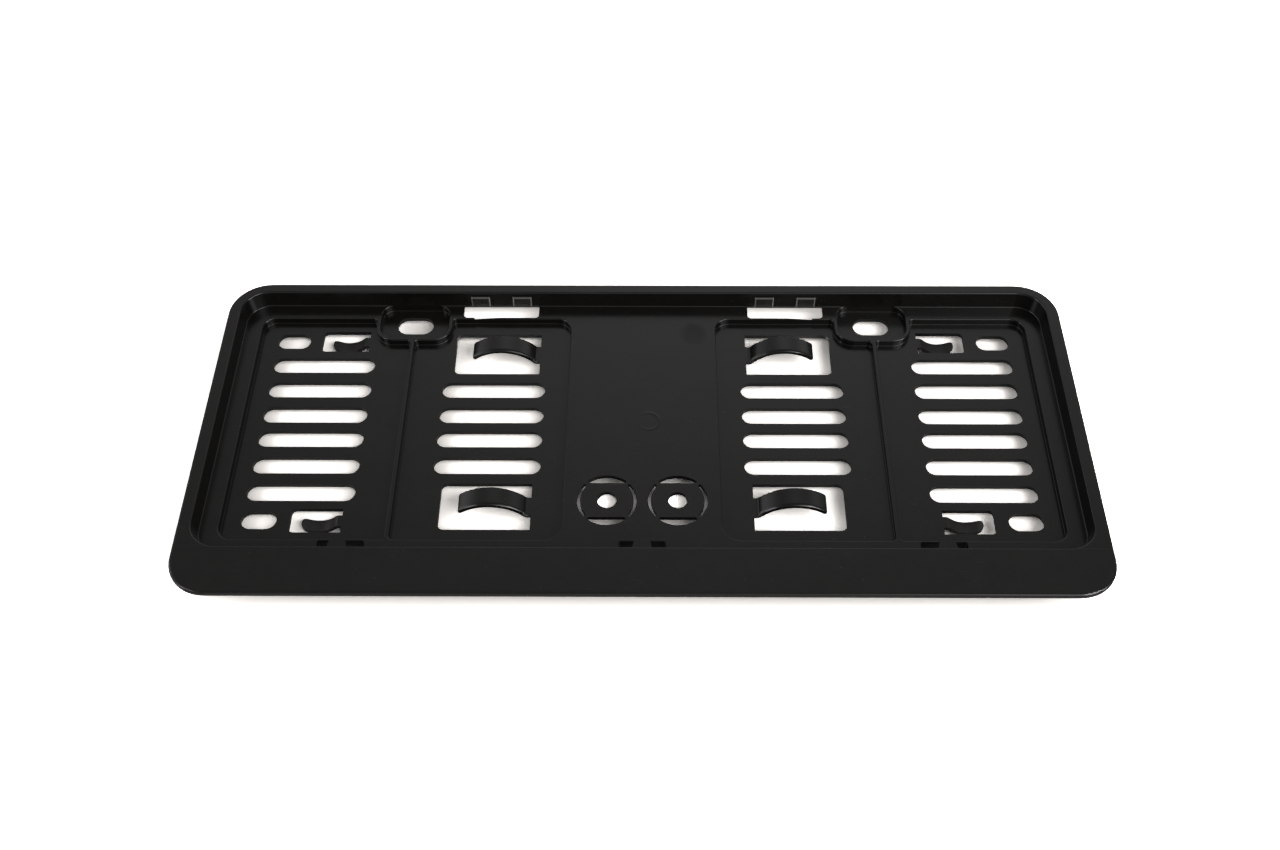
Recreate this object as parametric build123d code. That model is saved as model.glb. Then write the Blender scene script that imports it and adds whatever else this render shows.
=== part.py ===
"""Number plate holder: a moulded tray with a wide flange along its front edge.

Units are millimetres, +Z is up, the open side of the tray faces up and the
flange is at the front (-Y). The origin is under the middle of the outline.
"""

import os
from math import acos, atan2, degrees, radians, sqrt, tan

from build123d import *

# Plate and the play it has in its seat
PLATE_WIDTH = 305.0
PLATE_DEPTH = 114.0
SIDE_PLAY = 1.95
END_PLAY = 0.75

# Sheet and levels
SHEET = 1.7
WALL_RISE = 7.0
WALL_DRAFT = 6.0
SEAT_RISE = 2.9
LEDGE_WIDTH = 6.6

# Rim and flange
SIDE_RIM = 4.7
BACK_RIM = 4.4
FRONT_FLANGE = 18.7
BACK_CORNER_R = 15.0
FRONT_CORNER_R = 14.0
MOUTH_CORNER_R = 10.0

# Recessed floor on each side of the centre pad
PAD_WIDTH = 56.0
RECESS_OUTER_R = 5.0
RECESS_PAD_BACK_R = 5.5
RECESS_PAD_FRONT_R = 7.0
RIB_THICKNESS = 1.6
RIB_FLARE_R = 1.5

# Rounded edges
RIM_EDGE_R = 0.8
MOUTH_EDGE_R = 0.6
WALL_FOOT_R = 0.35
LEDGE_EDGE_R = 0.45
FLOOR_FOOT_R = 0.2

# Screw cups and their slots
SCREW_SPACING = 177.8
SCREW_SLOT_LENGTH = 13.9
SCREW_SLOT_WIDTH = 8.4
CUP_WIDTH = 26.3
CUP_DEPTH = 16.0
CUP_LIP = 1.65
CUP_BACK_R = 4.5
CUP_FRONT_R = 5.5

# Rows of long slots in the floor
SLOT_LENGTH = 38.8
SLOT_WIDTH = 7.2
SLOT_MIDDLE_PITCH = 11.2
INNER_SLOT_X = 56.3
OUTER_SLOT_X = 122.0
CORNER_HOLE_LENGTH = 12.5
CORNER_HOLE_INSET = 9.55

# Arched tabs and their windows
ARCH_WINDOW_START = 39.5
ARCH_WINDOW_LENGTH = 32.5
ARCH_WINDOW_INSET = 5.9
ARCH_WINDOW_WEB = 4.35
ARCH_WINDOW_R = 2.3
ARCH_WIDTH = 8.2
ARCH_THICKNESS = 1.25
ARCH_RISE = 6.4
ARCH_CROWN_RUN = 14.5
ARCH_REACH = 25.4
ARCH_ROOT_R = 1.5
ARCH_TOP_R = 16.5
ARCH_END_R = 1.0
ARCH_EDGE_R = 0.5

# Drooping tabs and their windows
DROOP_WINDOW_START = 105.9
DROOP_WINDOW_LENGTH = 18.2
DROOP_WINDOW_DEPTH = 9.9
DROOP_WINDOW_R = 1.7
DROOP_WIDTH = 4.6
DROOP_THICKNESS = 1.3
DROOP_FALL = 3.45
DROOP_LOW_RUN = 8.6
DROOP_REACH = 14.5
DROOP_ROOT_R = 2.9
DROOP_HOLLOW_R = 7.9

# Windows in the back ledge, with clip pads on the wall above them
BACK_WINDOW_START = 40.8
BACK_WINDOW_LENGTH = 29.2
BACK_WINDOW_R = 1.5
LEDGE_SKIN = 0.5
WALL_LIP = 0.75
WALL_RELIEF = 1.0
SKIN_NOTCH_DEPTH = 0.8
SKIN_NOTCH_LENGTH = 9.8
SKIN_NOTCH_INSET = 4.2
CLIP_WIDTH = 7.4
CLIP_SPACING = 16.2
CLIP_PROUD = 0.6
CLIP_RISE = 5.3
CLIP_EDGE_R = 0.45

# Tongues on the front wall, each over a hole in the ledge, and the rib behind the middle one
TONGUE_X = 104.3
TONGUE_BASE = 7.3
TONGUE_TIP = 4.6
TONGUE_REACH = 5.5
TONGUE_DROP = 1.9
TONGUE_THICKNESS = 1.8
TONGUE_TIP_R = 1.2
TONGUE_HOLE_WIDTH = 16.4
TONGUE_HOLE_R = 0.8
PAD_RIB = 2.8

# Knock-out discs in the centre pad
KNOCK_SPACING = 25.1
KNOCK_INSET = 23.35
KNOCK_HOLE_D = 6.7
KNOCK_DISC_R = 9.5
KNOCK_GAP = 1.1
KNOCK_FLAT = 7.3
KNOCK_BRIDGE = 1.5

# Levels above the ground, which the drooping tabs touch
OVERLAP = 1.0
FLOOR_TOP = DROOP_FALL + DROOP_THICKNESS
FLOOR_UNDER = FLOOR_TOP - SHEET
SEAT_TOP = FLOOR_TOP + SEAT_RISE
SEAT_UNDER = SEAT_TOP - SHEET
RIM_TOP = SEAT_TOP + WALL_RISE
RIM_UNDER = RIM_TOP - SHEET

# Plan sizes, from the plate outwards to the rim and inwards to the recesses
SEAT_WIDTH = PLATE_WIDTH + 2 * SIDE_PLAY
SEAT_DEPTH = PLATE_DEPTH + 2 * END_PLAY
DRAFT_RUN = WALL_RISE * tan(radians(WALL_DRAFT))
MOUTH_WIDTH = SEAT_WIDTH + 2 * DRAFT_RUN
MOUTH_DEPTH = SEAT_DEPTH + 2 * DRAFT_RUN
RIM_SIDE = MOUTH_WIDTH / 2 + SIDE_RIM
RIM_BACK = MOUTH_DEPTH / 2 + BACK_RIM
RIM_FRONT = MOUTH_DEPTH / 2 + FRONT_FLANGE
POCKET_Y = (RIM_FRONT - RIM_BACK) / 2
FOOT = SEAT_DEPTH / 2
RECESS_END = FOOT - LEDGE_WIDTH
RECESS_SIDE = SEAT_WIDTH / 2 - LEDGE_WIDTH
RECESS_INNER = PAD_WIDTH / 2
CUP_X = SCREW_SPACING / 2
CUP_FRONT = FOOT - CUP_DEPTH
CORNER_HOLE_X = OUTER_SLOT_X + (SLOT_LENGTH - CORNER_HOLE_LENGTH) / 2
KNOCK_Y = KNOCK_INSET - FOOT

# Rows of slots, spread evenly from the middle of the pocket to the corner holes
FIRST_ROW = SLOT_MIDDLE_PITCH / 2
ROW_PITCH = (RECESS_END - CORNER_HOLE_INSET - FIRST_ROW) / 3
ROW_Y = [FIRST_ROW + row * ROW_PITCH for row in range(4)]
ARCH_WINDOW_NEAR = ROW_Y[1] + SLOT_WIDTH / 2 + ARCH_WINDOW_WEB
ARCH_WINDOW_FAR = RECESS_END - ARCH_WINDOW_INSET
ARCH_WINDOW_DEPTH = ARCH_WINDOW_FAR - ARCH_WINDOW_NEAR
ARCH_WINDOW_Y = (ARCH_WINDOW_FAR + ARCH_WINDOW_NEAR) / 2
BACK_WINDOW_X = BACK_WINDOW_START + BACK_WINDOW_LENGTH / 2


def outline(left, front, right, back, front_left=0.0, front_right=0.0, back_right=0.0, back_left=0.0):
    """A rectangle with a radius of its own at each corner, anticlockwise from the front left."""
    edges = [
        Line((left + front_left, front), (right - front_right, front)),
        Line((right, front + front_right), (right, back - back_right)),
        Line((right - back_right, back), (left + back_left, back)),
        Line((left, back - back_left), (left, front + front_left)),
    ]
    rounded = [
        (left + front_left, front + front_left, front_left, 180),
        (right - front_right, front + front_right, front_right, 270),
        (right - back_right, back - back_right, back_right, 0),
        (left + back_left, back - back_left, back_left, 90),
    ]
    for x, y, radius, angle in rounded:
        if radius > 0:
            edges.append(CenterArc((x, y), radius, angle, 90))
    return make_face(edges)


def upright(plan, low, high):
    """A plan drawn about the middle of the pocket, raised from one level to another."""
    return extrude(Pos(0, POCKET_Y, low) * plan, high - low)


def both(shape):
    """A right-hand shape and its mirror image."""
    return [shape, mirror(shape, about=Plane.YZ)]


def low_edges(solid):
    """The edges round the lowest face of a solid."""
    return solid.faces().sort_by(Axis.Z)[0].edges()


def level_edges(part, level, half_width, half_depth):
    """The edges at one level inside a rectangle about the middle of the pocket."""
    picked = []
    for edge in part.edges():
        box = edge.bounding_box()
        level_miss = max(abs(box.min.Z - level), abs(box.max.Z - level))
        width = max(abs(box.min.X), abs(box.max.X))
        depth = max(abs(box.min.Y - POCKET_Y), abs(box.max.Y - POCKET_Y))
        if level_miss < 0.01 and width < half_width and depth < half_depth:
            picked.append(edge)
    return picked


def tab_profile(start, turn, crown_run, rise, root_r, far_r, reach, thickness):
    """Side view of a tab that leaves the floor flat and follows two tangent arcs.

    It turns up (turn = 1) or down (turn = -1). The radii are those of its top
    face, and rise is how far that face has moved at crown_run from the root.
    """
    half = thickness / 2
    root_mid = root_r + turn * half
    far_mid = far_r - turn * half
    level = FLOOR_TOP - half
    lift = root_mid + far_mid - rise
    span = sqrt((root_mid + far_mid) ** 2 - lift**2)
    root_centre = (start + crown_run - span, level + turn * root_mid)
    far_centre = (start + crown_run, level + turn * (rise - far_mid))
    lean = degrees(atan2(lift, span))
    stop = degrees(acos((reach - crown_run) / far_mid))
    faces = []
    for offset in (half, -half):
        root_arc = CenterArc(root_centre, root_mid - turn * offset, -90 * turn, (90 - lean) * turn)
        far_start = (180 - lean) * turn
        far_arc = CenterArc(far_centre, far_mid + turn * offset, far_start, (stop - 180 + lean) * turn)
        flat = Line((start - OVERLAP, level + offset), root_arc @ 0)
        faces.append([flat, root_arc, far_arc])
    top, under = faces
    ends = [Line(top[0] @ 0, under[0] @ 0), Line(top[2] @ 1, under[2] @ 1)]
    return make_face([*top, *under, *ends])


def across(profile, y, half):
    """A side view, drawn in X and Z, thickened to both sides of one distance from the middle."""
    return extrude(Pos(0, POCKET_Y + y) * (Plane.XZ * profile), half, both=True)


# Rim and flange
rim_plan = outline(
    -RIM_SIDE, -RIM_FRONT, RIM_SIDE, RIM_BACK,
    FRONT_CORNER_R, FRONT_CORNER_R, BACK_CORNER_R, BACK_CORNER_R,
)
rim = upright(rim_plan, RIM_UNDER, RIM_TOP)
rim = fillet(rim.faces().sort_by(Axis.Z)[-1].edges(), RIM_EDGE_R)

# Outside of the drafted tray
mouth = RectangleRounded(MOUTH_WIDTH, MOUTH_DEPTH, MOUTH_CORNER_R)
shell_plan = RectangleRounded(MOUTH_WIDTH + 2 * SHEET, MOUTH_DEPTH + 2 * SHEET, MOUTH_CORNER_R + SHEET)
shell_height = RIM_TOP - SEAT_UNDER - RIM_EDGE_R
shell = extrude(Pos(0, POCKET_Y, RIM_TOP - RIM_EDGE_R) * shell_plan, -shell_height, taper=WALL_DRAFT)
shell = fillet(low_edges(shell), WALL_FOOT_R + SHEET / 2)

# Outside of the recessed floors and the screw cups
recess_outside = outline(
    RECESS_INNER - SHEET, -RECESS_END - SHEET, RECESS_SIDE + SHEET, RECESS_END + SHEET,
    RECESS_PAD_FRONT_R + SHEET, RECESS_OUTER_R + SHEET, RECESS_OUTER_R + SHEET, RECESS_PAD_BACK_R + SHEET,
)
cup_half = CUP_WIDTH / 2
cup_lip_r = CUP_FRONT_R + CUP_LIP
cup_outside = outline(
    CUP_X - cup_half - CUP_LIP, CUP_FRONT - CUP_LIP, CUP_X + cup_half + CUP_LIP, FOOT + SHEET,
    cup_lip_r, cup_lip_r, CUP_BACK_R + CUP_LIP, CUP_BACK_R + CUP_LIP,
)
pans = []
for plan in (recess_outside, cup_outside):
    pans += both(upright(plan, FLOOR_UNDER, SEAT_TOP - SHEET / 2))

# Rib under the pad, in line with the front walls of the recesses and joining them
pad_rib_half = RECESS_INNER + RECESS_PAD_FRONT_R
pad_rib_front = -RECESS_END - SHEET
pad_rib = outline(-pad_rib_half, pad_rib_front, pad_rib_half, pad_rib_front + PAD_RIB)
pans.append(upright(pad_rib, FLOOR_UNDER, SEAT_TOP - SHEET / 2))
body = rim + shell + pans

# Pocket for the plate, open at the top
pocket = extrude(Pos(0, POCKET_Y, RIM_TOP) * mouth, -WALL_RISE, taper=WALL_DRAFT)
pocket = fillet(low_edges(pocket), WALL_FOOT_R)
body -= pocket
body = fillet(level_edges(body, RIM_TOP, MOUTH_WIDTH / 2 + 0.1, MOUTH_DEPTH / 2 + 0.1), MOUTH_EDGE_R)

# Recessed floors, each split by a rib that runs forward from its screw cup
recess_plan = outline(
    RECESS_INNER, -RECESS_END, RECESS_SIDE, RECESS_END,
    RECESS_PAD_FRONT_R, RECESS_OUTER_R, RECESS_OUTER_R, RECESS_PAD_BACK_R,
)
rib = outline(CUP_X - RIB_THICKNESS / 2, -FOOT, CUP_X + RIB_THICKNESS / 2, CUP_FRONT)
recess_plan = recess_plan - cup_outside - rib
flared = []
for vertex in recess_plan.vertices():
    near_rib = abs(abs(vertex.X - CUP_X) - RIB_THICKNESS / 2) < 0.01
    near_cup = abs(vertex.Y - RECESS_END) < 0.01 and abs(vertex.X - CUP_X) < cup_half + CUP_LIP + 0.01
    if near_rib or near_cup:
        flared.append(vertex)
recess_plan = fillet(flared, RIB_FLARE_R)
recess = upright(recess_plan, FLOOR_TOP, SEAT_TOP + OVERLAP)
recess = fillet(recess.edges().group_by(Axis.Z)[0], FLOOR_FOOT_R)
cup_plan = outline(
    CUP_X - cup_half, CUP_FRONT, CUP_X + cup_half, FOOT,
    CUP_FRONT_R, CUP_FRONT_R, CUP_BACK_R, CUP_BACK_R,
)
cup = upright(cup_plan, FLOOR_TOP, SEAT_TOP + WALL_FOOT_R)
cup = fillet(low_edges(cup), FLOOR_FOOT_R)
body -= both(recess) + both(cup)
ledge_edges = level_edges(body, SEAT_TOP, RECESS_SIDE + 0.1, RECESS_END + 0.1)
body = fillet(ledge_edges, LEDGE_EDGE_R)

# Clip pads on the back wall
clip_plan = outline(-CLIP_WIDTH / 2, FOOT - CLIP_PROUD, CLIP_WIDTH / 2, FOOT + SHEET / 2)
clip = upright(clip_plan, SEAT_TOP, SEAT_TOP + CLIP_RISE)
clip_front = clip.faces().sort_by(Axis.Y)[0]
clip = fillet(clip_front.edges() - low_edges(clip), CLIP_EDGE_R)
clips = []
for side in (-1, 1):
    clips += both(Pos(BACK_WINDOW_X + side * CLIP_SPACING / 2, 0) * clip)
body += clips

# Tongues on the front wall
tongue_root = -MOUTH_DEPTH / 2 - SHEET / 2
tongue_tip = -MOUTH_DEPTH / 2 + TONGUE_REACH
tongue_plan = make_face(
    Polyline(
        (-TONGUE_BASE / 2, tongue_root),
        (TONGUE_BASE / 2, tongue_root),
        (TONGUE_BASE / 2, -MOUTH_DEPTH / 2),
        (TONGUE_TIP / 2, tongue_tip),
        (-TONGUE_TIP / 2, tongue_tip),
        (-TONGUE_BASE / 2, -MOUTH_DEPTH / 2),
        close=True,
    )
)
tongue_plan = fillet(tongue_plan.vertices().sort_by(Axis.Y)[-2:], TONGUE_TIP_R)
tongue_top = RIM_TOP - TONGUE_DROP
tongue = upright(tongue_plan, tongue_top - TONGUE_THICKNESS, tongue_top)
tongues = [tongue] + both(Pos(TONGUE_X, 0) * tongue)
body += tongues

# Holes straight through the floor and the pad
holes = []
for row in ROW_Y[:3]:
    for side in (-1, 1):
        holes.append(Pos(OUTER_SLOT_X, side * row) * SlotOverall(SLOT_LENGTH, SLOT_WIDTH))
for row in ROW_Y[:2]:
    for side in (-1, 1):
        holes.append(Pos(INNER_SLOT_X, side * row) * SlotOverall(SLOT_LENGTH, SLOT_WIDTH))
droop_end = DROOP_WINDOW_START + DROOP_WINDOW_LENGTH
arch_end = ARCH_WINDOW_START + ARCH_WINDOW_LENGTH
for side in (-1, 1):
    holes.append(Pos(CORNER_HOLE_X, side * ROW_Y[3]) * SlotOverall(CORNER_HOLE_LENGTH, SLOT_WIDTH))
    droop_window = outline(
        DROOP_WINDOW_START, -DROOP_WINDOW_DEPTH / 2, droop_end, DROOP_WINDOW_DEPTH / 2,
        front_right=DROOP_WINDOW_R, back_right=DROOP_WINDOW_R,
    )
    holes.append(Pos(0, side * ROW_Y[3]) * droop_window)
    arch_window = outline(
        ARCH_WINDOW_START, -ARCH_WINDOW_DEPTH / 2, arch_end, ARCH_WINDOW_DEPTH / 2,
        front_right=ARCH_WINDOW_R, back_right=ARCH_WINDOW_R,
    )
    holes.append(Pos(0, side * ARCH_WINDOW_Y) * arch_window)
holes.append(Pos(CUP_X, FOOT - CUP_DEPTH / 2) * SlotOverall(SCREW_SLOT_LENGTH, SCREW_SLOT_WIDTH))
knock_r = KNOCK_DISC_R + KNOCK_GAP
knock = Circle(knock_r) - (Circle(KNOCK_DISC_R) & Rectangle(2 * KNOCK_DISC_R, 2 * KNOCK_FLAT))
for angle in (45, -45):
    knock -= Rot(0, 0, angle) * Rectangle(2 * knock_r + OVERLAP, KNOCK_BRIDGE)
holes.append(Pos(KNOCK_SPACING / 2, KNOCK_Y) * knock)
holes.append(Pos(KNOCK_SPACING / 2, KNOCK_Y) * Circle(KNOCK_HOLE_D / 2))
cutters = []
for plan in holes:
    cutters += both(upright(plan, FLOOR_UNDER - OVERLAP, SEAT_TOP + OVERLAP))
body -= cutters

# Windows in the back ledge, cut a little way under the wall
back_window = outline(
    BACK_WINDOW_START, RECESS_END + LEDGE_SKIN, BACK_WINDOW_START + BACK_WINDOW_LENGTH, FOOT,
    front_left=BACK_WINDOW_R, front_right=BACK_WINDOW_R,
)
under_wall = outline(
    BACK_WINDOW_START, FOOT - OVERLAP, BACK_WINDOW_START + BACK_WINDOW_LENGTH, FOOT + WALL_RELIEF
)
body -= both(upright(back_window, FLOOR_UNDER - OVERLAP, SEAT_TOP + WALL_FOOT_R))
body -= both(upright(under_wall, FLOOR_UNDER - OVERLAP, SEAT_TOP - WALL_LIP))
notch_end = BACK_WINDOW_START + BACK_WINDOW_LENGTH - SKIN_NOTCH_INSET
notch_profile = make_face(
    Polyline(
        (notch_end - SKIN_NOTCH_LENGTH, SEAT_TOP),
        (notch_end, SEAT_TOP - SKIN_NOTCH_DEPTH),
        (notch_end, SEAT_TOP + OVERLAP),
        (notch_end - SKIN_NOTCH_LENGTH, SEAT_TOP + OVERLAP),
        close=True,
    )
)
body -= both(across(notch_profile, RECESS_END, 2 * LEDGE_SKIN))

# Holes in the front ledge under the tongues
tongue_hole = outline(
    -TONGUE_HOLE_WIDTH / 2, -FOOT, TONGUE_HOLE_WIDTH / 2, -RECESS_END - LEDGE_SKIN,
    back_right=TONGUE_HOLE_R, back_left=TONGUE_HOLE_R,
)
hole_cutter = upright(tongue_hole, FLOOR_UNDER - OVERLAP, SEAT_TOP + WALL_FOOT_R)
body -= [hole_cutter] + both(Pos(TONGUE_X, 0) * hole_cutter)

# Tabs in the windows of the floor
arch_profile = tab_profile(
    ARCH_WINDOW_START, 1, ARCH_CROWN_RUN, ARCH_RISE, ARCH_ROOT_R, ARCH_TOP_R, ARCH_REACH, ARCH_THICKNESS
)
arch = across(arch_profile, 0, ARCH_WIDTH / 2)
arch_tip = arch.edges().filter_by(GeomType.LINE).sort_by(Axis.X)[-4:]
arch = fillet(arch_tip.sort_by(SortBy.LENGTH)[:2], ARCH_END_R)
arch = fillet(arch.edges().filter_by(GeomType.CIRCLE).sort_by(SortBy.LENGTH)[-4:], ARCH_EDGE_R)
droop_profile = tab_profile(
    DROOP_WINDOW_START, -1, DROOP_LOW_RUN, DROOP_FALL, DROOP_ROOT_R, DROOP_HOLLOW_R, DROOP_REACH,
    DROOP_THICKNESS,
)
droop_plan = Pos(DROOP_WINDOW_START + DROOP_REACH / 2 - SLOT_WIDTH / 2, 0) * SlotOverall(
    DROOP_REACH + SLOT_WIDTH, DROOP_WIDTH
)
droop = across(droop_profile, 0, DROOP_WIDTH) & upright(droop_plan, -OVERLAP, RIM_TOP)
tabs = []
for side in (-1, 1):
    tabs += both(Pos(0, side * ARCH_WINDOW_Y) * arch)
    tabs += both(Pos(0, side * ROW_Y[3]) * droop)
body += tabs

os.makedirs("parts", exist_ok=True)
export_step(body, "parts/plate_holder.step")
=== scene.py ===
# %% [markdown]
# # A number plate holder in black moulded plastic
#
# The object is one moulding: a shallow tray that a number plate drops into, with a wide flange along its
# front edge, slots for screws, and spring tabs that press on the plate. All of its shapes come from the
# mould, so the solid model already has them. What is left for Blender is what a solid model can't say:
# the finish of the plastic, the marks that making and handling left on it, and the light.

# %% Load the holder
import math

import bpy
from mathutils import Matrix, Vector


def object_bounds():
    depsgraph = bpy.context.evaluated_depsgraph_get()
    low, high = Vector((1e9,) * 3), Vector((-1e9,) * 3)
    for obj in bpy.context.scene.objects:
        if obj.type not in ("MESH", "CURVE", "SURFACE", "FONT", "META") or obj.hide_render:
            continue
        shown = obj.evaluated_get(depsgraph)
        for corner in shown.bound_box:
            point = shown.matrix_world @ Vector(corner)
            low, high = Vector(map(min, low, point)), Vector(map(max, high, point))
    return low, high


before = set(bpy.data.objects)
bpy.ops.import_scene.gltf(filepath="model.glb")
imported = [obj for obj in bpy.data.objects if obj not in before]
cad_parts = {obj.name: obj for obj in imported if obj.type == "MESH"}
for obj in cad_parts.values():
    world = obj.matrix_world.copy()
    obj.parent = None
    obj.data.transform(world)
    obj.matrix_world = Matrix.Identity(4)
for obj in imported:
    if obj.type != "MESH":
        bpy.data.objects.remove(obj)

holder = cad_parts["plate_holder"]
solid_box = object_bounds()
MM = 0.001
far_corner = [round(v / MM, 2) for v in solid_box[1]]
print("holder:", len(holder.data.polygons), "faces, far corner", far_corner, "mm")

# %% [markdown]
# ## Camera
#
# The photograph looks down on the tray from its flange side, from about half a metre away, close enough
# for the sides to run together towards the back. A camera can be set by eye until the outline fits, but
# slots and corners of known size give its place and lens exactly. Three turns aim it: down, a hair to
# the side, and a hair of roll. The lens is the focal length in pixels, scaled to a 36 mm sensor.

# %% Place the camera
PHOTO_WIDTH = 1280
focal_pixels = 1418.5
camera_place = Vector((1.55, -311.78, 421.19)) * MM
look_down = math.radians(52.446)
turn_left = math.radians(0.454)
roll = math.radians(-0.217)

lens = bpy.data.cameras.new("photo_camera")
lens.sensor_fit = "HORIZONTAL"
lens.sensor_width = 36.0
lens.lens = focal_pixels / PHOTO_WIDTH * lens.sensor_width
lens.clip_start = 0.01
camera = bpy.data.objects.new("photo_camera", lens)
bpy.context.collection.objects.link(camera)
heading = Matrix.Rotation(turn_left, 4, "Z")
tilt = Matrix.Rotation(math.pi / 2 - look_down, 4, "X")
camera.matrix_world = Matrix.Translation(camera_place) @ heading @ tilt @ Matrix.Rotation(roll, 4, "Z")
bpy.context.scene.camera = camera
print("lens", round(lens.lens, 2), "mm, camera", round(camera_place.length, 3), "m from the tray's middle")

# %% [markdown]
# ## Writing shader maths as Python
#
# A finish is built from masks that are added, multiplied and subtracted. Wiring each sum by hand hides
# the idea behind it, so one small class holds an output socket and lets Python's own operators add the
# Math nodes. One method adds every other kind of node: its settings first, then its sockets.


# %% A wire that can be added and multiplied
class Wire:
    """An output of a shader node."""

    def __init__(self, tree, socket=None):
        self.tree = tree
        self.socket = socket

    def node(self, kind, settings=None, sockets=None, out=0):
        made = self.tree.nodes.new(kind)
        for name, setting in (settings or {}).items():
            setattr(made, name, setting)
        for name, value in (sockets or {}).items():
            if isinstance(value, Wire):
                self.tree.links.new(value.socket, made.inputs[name])
            else:
                made.inputs[name].default_value = value
        return Wire(self.tree, made.outputs[out] if made.outputs else None)

    def math(self, operation, *values):
        return self.node("ShaderNodeMath", {"operation": operation}, dict(enumerate(values)))

    def __add__(self, other):
        return self.math("ADD", self, other)

    def __radd__(self, other):
        return self.math("ADD", other, self)

    def __sub__(self, other):
        return self.math("SUBTRACT", self, other)

    def __rsub__(self, other):
        return self.math("SUBTRACT", other, self)

    def __mul__(self, other):
        return self.math("MULTIPLY", self, other)

    def __rmul__(self, other):
        return self.math("MULTIPLY", other, self)

    def __truediv__(self, other):
        return self.math("DIVIDE", self, other)

    def __rtruediv__(self, other):
        return self.math("DIVIDE", other, self)

    def between(self, low, high):
        """0 at low, 1 at high and smooth between; low above high turns it round."""
        sockets = {"Value": self, "From Min": low, "From Max": high}
        return self.node("ShaderNodeMapRange", {"interpolation_type": "SMOOTHSTEP"}, sockets)

    def within(self, low, high, soft):
        """1 from low to high, and smooth down to 0 over soft on both sides."""
        return self.between(low - soft, low) * self.between(high + soft, high)


def new_material(name):
    """A material with an empty tree, and a loose wire to start it from."""
    material = bpy.data.materials.new(name)
    material.use_nodes = True
    material.node_tree.nodes.clear()
    return material, Wire(material.node_tree)


print("operators ready:", [name for name in vars(Wire) if name.startswith("__") and name != "__init__"])

# %% [markdown]
# ## Where a mark sits
#
# Every mark on the tray belongs to one spot of it, so the masks are measured on the tray itself: how far
# across, along and up a point is, in millimetres. Painted images would do this too, but they would need
# the tray unwrapped, and the lines of a mask stay sharp at any distance.

# %% Measure the tray
satin_black, start = new_material("satin_black_plastic")
place = start.node("ShaderNodeTexCoord", out="Object")


def in_mm(spot, axes):
    """The coordinates of a spot along the named axes, in mm."""
    return (spot.node("ShaderNodeSeparateXYZ", {}, {"Vector": spot}, out=axis) / MM for axis in axes)


def distance(right, back):
    """How far off a spot is in plan, from its two offsets."""
    return right.math("SQRT", right * right + back * back)


def cloud(size, detail=2.0, seed=0.0, stretch=(1.0, 1.0, 1.0)):
    """Noise whose blobs are about size mm wide; stretch draws them out along an axis."""
    squeeze = tuple(1.0 / s for s in stretch)
    moved = start.node("ShaderNodeMapping", {}, {"Vector": place, "Location": (seed,) * 3, "Scale": squeeze})
    sockets = {"Vector": moved, "Scale": 1.0 / (size * MM), "Detail": detail, "Roughness": 0.55}
    return start.node("ShaderNodeTexNoise", {}, sockets)


across, along, up = in_mm(place, "XYZ")
print("the tray spans", [round((b - a) / MM, 1) for a, b in zip(*solid_box)], "mm across, along and up")

# %% [markdown]
# ## Mould grain
#
# The mould's steel was spark eroded, which leaves a fine orange-peel of pits that the plastic copies. It
# is what makes the black satin instead of shiny. Real displacement would need millions of faces for pits
# a third of a millimetre across, so the grain is a bump. Its heights are in millimetres: pits a few
# thousandths deep, and a slow wave under them where the cooling sheet drew in.

# %% Mould grain
FINE, COARSE, WAVE = 0.35, 1.2, 15.0
FINE_DEPTH, COARSE_DEPTH, WAVE_DEPTH = 0.001, 0.003, 0.04

fine_pits = cloud(FINE, detail=1.0) * FINE_DEPTH
coarse_pits = cloud(COARSE, detail=2.0, seed=3.0) * COARSE_DEPTH
cooling_waves = cloud(WAVE, detail=1.0, seed=7.0) * WAVE_DEPTH
relief = fine_pits + coarse_pits + cooling_waves
print("mould grain: pits of", FINE, "and", COARSE, "mm on waves of", WAVE, "mm")

# %% [markdown]
# ## Flow clouds
#
# Plastic that cools against steel never comes out quite even: the gloss drifts in soft clouds, drawn out
# along the tray because the melt ran from the middle to the ends. A change of roughness shows this better
# than a change of colour, because black plastic is seen mostly by what it reflects.

# %% Flow clouds
DRIFT, MOTTLE = 45.0, 6.0
SATIN, SATIN_CHANGE = 0.18, 0.05

wide_clouds = cloud(DRIFT, detail=3.0, seed=11.0, stretch=(2.0, 1.0, 1.0))
small_clouds = cloud(MOTTLE, detail=3.0, seed=17.0)
clouds = (wide_clouds * 0.6 + small_clouds * 0.4).between(0.3, 0.7)
roughness = SATIN + clouds * SATIN_CHANGE
print("flow clouds: drifts", 2 * DRIFT, "mm long and a mottle of", MOTTLE, "mm")

# %% [markdown]
# ## Marks of the mould
#
# Three marks tell how the tray was made. The plastic came in through a gate in the middle of the centre
# pad and left part of a ring there. The flange was a separate block of the mould, so a hairline crosses
# the side rims where it began. The slots were shut off by steel that dragged along their walls, so
# everything below the floor's face is duller. The first two are heights, the last one is roughness.

# %% Marks of the mould
PAD_FACE, FLOOR_FACE, RIM_FACE = 7.65, 4.75, 14.65
GATE = (2.2, 8.0)
GATE_RING, RING_WIDTH, RING_HEIGHT = 3.9, 0.45, 0.045
FLANGE_START, SEAM_DEPTH = -51.3, 0.015
DRAGGED = 0.2

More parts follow.
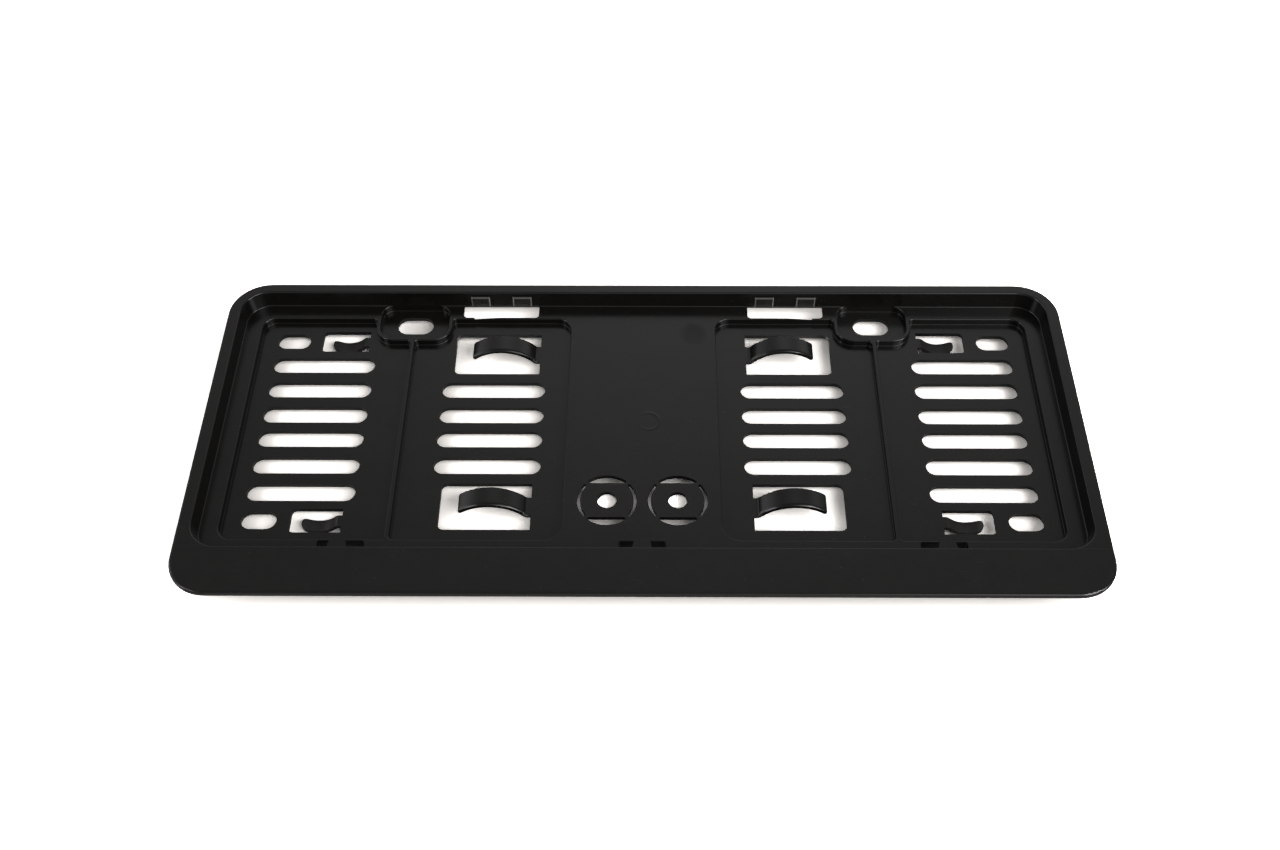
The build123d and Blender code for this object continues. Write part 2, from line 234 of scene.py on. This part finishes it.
on_pad = up.within(PAD_FACE - 0.1, PAD_FACE + 0.1, 0.2)
right_of_gate, back_of_gate = across - GATE[0], along - GATE[1]
from_ring = (distance(right_of_gate, back_of_gate) - GATE_RING) / RING_WIDTH
fuller_right = right_of_gate.between(-6.0, 3.0)
gate_ring = start.math("EXPONENT", from_ring * from_ring * -1.0) * on_pad * fuller_right
from_seam = start.math("ABSOLUTE", along - FLANGE_START)
seam = from_seam.between(0.2, 0.05) * up.between(RIM_FACE - 0.3, RIM_FACE - 0.1)
relief = relief + gate_ring * RING_HEIGHT - seam * SEAM_DEPTH
shut_off = up.between(FLOOR_FACE - 0.05, FLOOR_FACE - 0.15)
roughness = roughness + shut_off * DRAGGED
print("gate ring", 2 * GATE_RING, "mm wide at", GATE, "and a seam at", FLANGE_START, "mm")

# %% [markdown]
# ## Soft edges of the spring arches
#
# The near edges of the four arched tabs are rounder than the rest of the moulding: each edge first
# darkens and then catches a long streak of light. The last two millimetres of a tab are let down in the
# relief, along a curve that grows steeper towards the edge. Cutting a wider rounding into the mesh would
# do this too, but the solid already has a small one, and the rest of it is seen only by its shine.

# %% Soft edges of the spring arches
ARCH_EDGES = (-32.35, 38.45)
ARCH_SPAN = (42.0, 68.0)
EDGE_WIDTH, EDGE_DROP = 1.7, 0.7

side = start.math("ABSOLUTE", across)
on_arch = side.within(*ARCH_SPAN, 2.0) * up.between(FLOOR_FACE + 0.4, FLOOR_FACE + 1.2)
for edge in ARCH_EDGES:
    inward = along - edge
    sockets = {"Value": inward, "From Min": EDGE_WIDTH, "From Max": 0.0}
    to_edge = start.node("ShaderNodeMapRange", {}, sockets)
    relief = relief - to_edge * to_edge * inward.between(-3.0, -2.0) * on_arch * EDGE_DROP
print("arch edges at", ARCH_EDGES, "mm, let down over", EDGE_WIDTH, "mm")

# %% [markdown]
# ## Painted highlights on the clips
#
# Four square clips stand on the back wall, two over each clip window. Thin pale lines are painted round
# each clip where its rounded edges catch the light, a painted highlight, and its face is painted a little
# lighter, a painted reflection. Separate faces with a second material could do this too, but a mask
# follows the edges from their sizes alone. The distance to the nearer clip lets one set of lines serve two
# clips, and measuring from the middle of the tray serves the two on the other side.

# %% Painted highlights on the clips
CLIP_PLACES = (47.3, 63.5)
CLIP_HALF, CLIP_FACE, CLIP_TOP = 3.7, 64.3, 12.95
EDGE_LINE = 0.7
FACE_SHEEN = 0.06

from_clip = start.math("MINIMUM", *(start.math("ABSOLUTE", side - middle) for middle in CLIP_PLACES))
side_lines = from_clip.between(CLIP_HALF - EDGE_LINE, CLIP_HALF - EDGE_LINE / 2)
top_line = up.between(CLIP_TOP - EDGE_LINE, CLIP_TOP - EDGE_LINE / 2) * 0.5
proud = along.between(CLIP_FACE - 0.4, CLIP_FACE - 0.2) * along.between(CLIP_FACE + 0.7, CLIP_FACE + 0.4)
upright = up.within(PAD_FACE + 0.3, CLIP_TOP + 0.1, 0.2)
on_clip = proud * upright * from_clip.between(CLIP_HALF + 0.3, CLIP_HALF + 0.1)
# Painted highlight and painted reflection: pale lines on the clip edges and a lighter clip face stand in for
# the light they catch.
highlit = (FACE_SHEEN + start.math("MAXIMUM", side_lines, top_line)) * on_clip
print("scraped clips:", 2 * len(CLIP_PLACES), "squares of", 2 * CLIP_HALF, "mm, lines", EDGE_LINE, "mm wide")

# %% [markdown]
# ## Handling
#
# The tray has been on a shelf: a few hairline scuffs on the faces that a plate slides over, one dull
# smear near the back of the pad, and dust. Scuffs are the contour lines of a noise that is drawn out
# along the tray, kept only in patches, so that they come and go. Dust is a Voronoi pattern with very
# small dots: each dot is a ball about a scattered point, and the surface shows only those it cuts.

# %% Handling
SMEAR = (19.7, 50.4)
SCUFF_DULLS, SMEAR_DULLS = 0.08, 0.25
DUST_SCATTER = 5.0

patches = cloud(22.0, detail=1.0, seed=23.0).between(0.52, 0.62)
lines = start.math("ABSOLUTE", cloud(2.4, detail=2.0, seed=29.0, stretch=(14.0, 1.0, 1.0)) - 0.5)
scuffs = lines.between(0.012, 0.0) * patches
ragged = cloud(3.0, detail=3.0, seed=31.0) * 3.0
from_smear = distance(across - SMEAR[0], along - SMEAR[1])
smear = (from_smear + ragged).between(8.4, 4.2) * on_pad
roughness = roughness + scuffs * SCUFF_DULLS + smear * SMEAR_DULLS
sockets = {"Vector": place, "Scale": 1.0 / (DUST_SCATTER * MM)}
from_grain = start.node("ShaderNodeTexVoronoi", {}, sockets) * DUST_SCATTER
dust = from_grain.between(0.24, 0.12)
print("handling: scuffs in patches, a smear at", SMEAR, "and dust on a scatter of", DUST_SCATTER, "mm")

# %% [markdown]
# ## The finish, put together
#
# Black plastic gives back a third of a percent of the light that gets into it, slightly more where the
# pigment is thin, and a trace warmer than grey. Nearly all that the eye sees is the reflection of the
# room, so the colour does little and the relief and the roughness do most. Dust and the painted clip
# highlights are the exceptions: they are pale and lie on top, so they go into the colour last.

# %% The finish, put together
dense, thin = (0.0028, 0.0027, 0.0022, 1.0), (0.0050, 0.0047, 0.0040, 1.0)
# The second grey is the painted highlight on the clip edges.
lint, highlight_grey = (0.03, 0.03, 0.029, 1.0), (0.12, 0.12, 0.117, 1.0)


def blend(amount, under, over):
    """The colour over laid on the colour under by amount."""
    sockets = {"Factor": amount, "A": under, "B": over}
    return start.node("ShaderNodeMix", {"data_type": "RGBA"}, sockets, out=2)


pigment = blend(clouds * 0.6 + cloud(0.9, detail=2.0, seed=37.0).between(0.35, 0.65) * 0.4, dense, thin)
colour = blend(highlit, blend(dust, blend(smear, pigment, dense), lint), highlight_grey)
surface = start.node("ShaderNodeBump", {}, {"Height": relief, "Strength": 1.0, "Distance": MM})
sockets = {"Base Color": colour, "Roughness": roughness, "Normal": surface, "IOR": 1.5}
plastic = start.node("ShaderNodeBsdfPrincipled", {}, sockets)
start.node("ShaderNodeOutputMaterial", {}, {"Surface": plastic})
holder.data.materials.clear()
holder.data.materials.append(satin_black)
print("finish:", len(satin_black.node_tree.nodes), "nodes in", satin_black.name)

# %% [markdown]
# ## White table
#
# The tray lies on a white table that is burnt out to white: a soft shadow along the front edge and some
# grey in the narrow slots are all that is left. Turning the lamps up until the table clips would wash out
# the black, so the table is made whiter than white, but only for rays that look straight at it; the light
# that it throws back on the tray stays that of plain, slightly warm board. Beside the tray and in the two
# round holes the table is painted whiter still, a painted light that takes the tray's shadow out there,
# and at the left ends of the slots on the left it is painted darker, a painted shadow. In the plastic it
# shows dimly, except under the clip windows, where a bright patch that only reflections see is painted,
# a painted light on the feet of the clips.

# %% White table
REACH = 3.0
BOARD, BURNT, PAINTED_WHITE, SHADE = 0.85, 1.8, 12.0, 0.8
MIRRORED, GLINT = 0.45, 4.0
WARM_GREEN, WARM_BLUE = 0.96, 0.92
HOLE_SPOT = (12.75, -22.6)
OUTER_END, INNER_END, END_FADE = -144.0, -78.0, 10.0

corners = [(-REACH, -REACH, 0.0), (REACH, -REACH, 0.0), (REACH, REACH, 0.0), (-REACH, REACH, 0.0)]
table_mesh = bpy.data.meshes.new("studio_table")
table_mesh.from_pydata(corners, [], [(0, 1, 2, 3)])
table = bpy.data.objects.new("studio_table", table_mesh)
bpy.context.collection.objects.link(table)
white_board, start = new_material("white_board")
spot = start.node("ShaderNodeTexCoord", out="Object")
across, along = in_mm(spot, "XY")
side = start.math("ABSOLUTE", across)
# Painted light: the table is whiter in the two round holes and beside the tray, which takes the tray's
# shadow out there.
round_holes = distance(side - HOLE_SPOT[0], along - HOLE_SPOT[1]).between(5.0, 4.2)
beside = side.between(148.0, 154.0) * 0.15
painted_out_shade = start.math("MAXIMUM", round_holes, beside)
# Painted shadow: the table is darker at the left ends of the slots on the left.
outer_ends = across.between(OUTER_END + END_FADE, OUTER_END)
inner_ends = across.within(INNER_END - END_FADE, INNER_END, END_FADE)
painted_shade_ends = start.math("MAXIMUM", outer_ends, inner_ends) * along.within(-46.0, 60.0, 6.0)
# Painted light: a bright patch under the clip windows that only reflections see.
clip_windows = along.between(48.5, 53.0) * side.between(76.0, 71.0)
looks = ("Is Camera Ray", "Is Transmission Ray", "Is Glossy Ray")
straight, through, mirrored = (start.node("ShaderNodeLightPath", out=look) for look in looks)
to_the_eye = BURNT - BOARD + painted_out_shade * (PAINTED_WHITE - BURNT) - painted_shade_ends * SHADE
in_the_plastic = MIRRORED - BOARD + clip_windows * (GLINT - MIRRORED)
white = BOARD + (straight + through) * to_the_eye + mirrored * in_the_plastic
sockets = {"X": white, "Y": white * WARM_GREEN, "Z": white * WARM_BLUE}
warm_white = start.node("ShaderNodeCombineXYZ", {}, sockets)
board = start.node("ShaderNodeBsdfDiffuse", {}, {"Color": warm_white})
start.node("ShaderNodeOutputMaterial", {}, {"Surface": board})
table_mesh.materials.append(white_board)
print("table:", 2 * REACH, "m square, white", BOARD, "for light and", BURNT, "for the eye")

# %% [markdown]
# ## Lamps
#
# A bright streak runs down the near edge of every arched tab on the right of its crown, and a fainter
# one on the left. An edge that curves both ways mirrors only what stands well to the side, so there are
# two tall lamps, left and right and a little towards the viewer; the right one is stronger. Area lamps
# give such streaks soft ends. Their strength is set as brightness, so that a larger lamp stays as bright
# and just lights more.


# %% Lamps
def strip_light(name, towards, width, height, brightness):
    """An upright lamp a metre from the tray, facing it."""
    lamp = bpy.data.lights.new(name, "AREA")
    lamp.shape = "RECTANGLE"
    lamp.size, lamp.size_y = width, height
    lamp.energy = brightness * math.pi * width * height
    box = bpy.data.objects.new(name, lamp)
    bpy.context.collection.objects.link(box)
    out = Vector(towards).normalized()
    box.matrix_world = Matrix.Translation(out) @ out.to_track_quat("Z", "Y").to_matrix().to_4x4()
    print(name, "at", [round(v, 2) for v in out], "m, brightness", brightness)


strip_light("left_strip", (-0.76, -0.31, 0.57), 0.22, 0.5, 6.0)
strip_light("right_strip", (0.76, -0.31, 0.57), 0.24, 0.6, 10.0)

# %% [markdown]
# ## Room
#
# What the black mirrors tells how the room was lit. The flat faces grow lighter towards the back, so a
# window stands low behind the tray, with a smaller one on each side that the slopes of the arches catch.
# The front edge and the right end of the back wall are brighter, so a softbox hangs in front on the right.
# The front edge also catches something very low, and the walls that face left are not quite black, so that
# side of the room is pale. A dim wall and soft glows say this with four numbers each: where, how high, how
# bright and how tight. Photographs of a room would do it too, but glows can be moved one by one. The
# camera sees plain white instead.

# %% Room
WALL = 0.18

room = bpy.data.worlds.new("studio_room")
room.use_nodes = True
room.node_tree.nodes.clear()
bpy.context.scene.world = room
start = Wire(room.node_tree)
direction = start.node("ShaderNodeTexCoord", out="Generated")


def glow(turn, height, brightness, tightness):
    """A soft glow, turned clockwise from straight behind the tray and raised, both in degrees."""
    turn, height = math.radians(turn), math.radians(height)
    axis = (math.sin(turn) * math.cos(height), math.cos(turn) * math.cos(height), math.sin(height))
    sockets = {0: direction, 1: axis}
    facing = start.node("ShaderNodeVectorMath", {"operation": "DOT_PRODUCT"}, sockets, out="Value")
    return start.math("EXPONENT", (facing - 1.0) * tightness) * brightness


window = glow(4.1, 34.0, 0.82, 18.5)
side_windows = glow(-36.0, 24.0, 0.2, 28.0) + glow(42.0, 22.0, 0.45, 30.0)
softbox = glow(140.0, 47.0, 8.0, 40.0)
low_front = glow(180.0, 5.0, 0.9, 16.0)
pale_side = glow(-80.0, 15.0, 1.6, 12.0)
lit_room = WALL + window + side_windows + softbox + low_front + pale_side
light = start.math("MAXIMUM", lit_room, start.node("ShaderNodeLightPath", out="Is Camera Ray"))
sockets = {"Color": (1.0, 1.0, 1.0, 1.0), "Strength": light}
backdrop = start.node("ShaderNodeBackground", {}, sockets)
start.node("ShaderNodeOutputWorld", {}, {"Surface": backdrop})
print("room: wall at", WALL, "with three windows, a softbox, a low glow in front and a pale side")

# %% [markdown]
# ## View and size
#
# The Standard view shows colours as they were written. The size of the holder, as measured when it was
# loaded, is printed once more.

# %% View and size
bpy.context.scene.view_settings.view_transform = "Standard"
print("solid box", [[round(v, 5) for v in c] for c in solid_box])
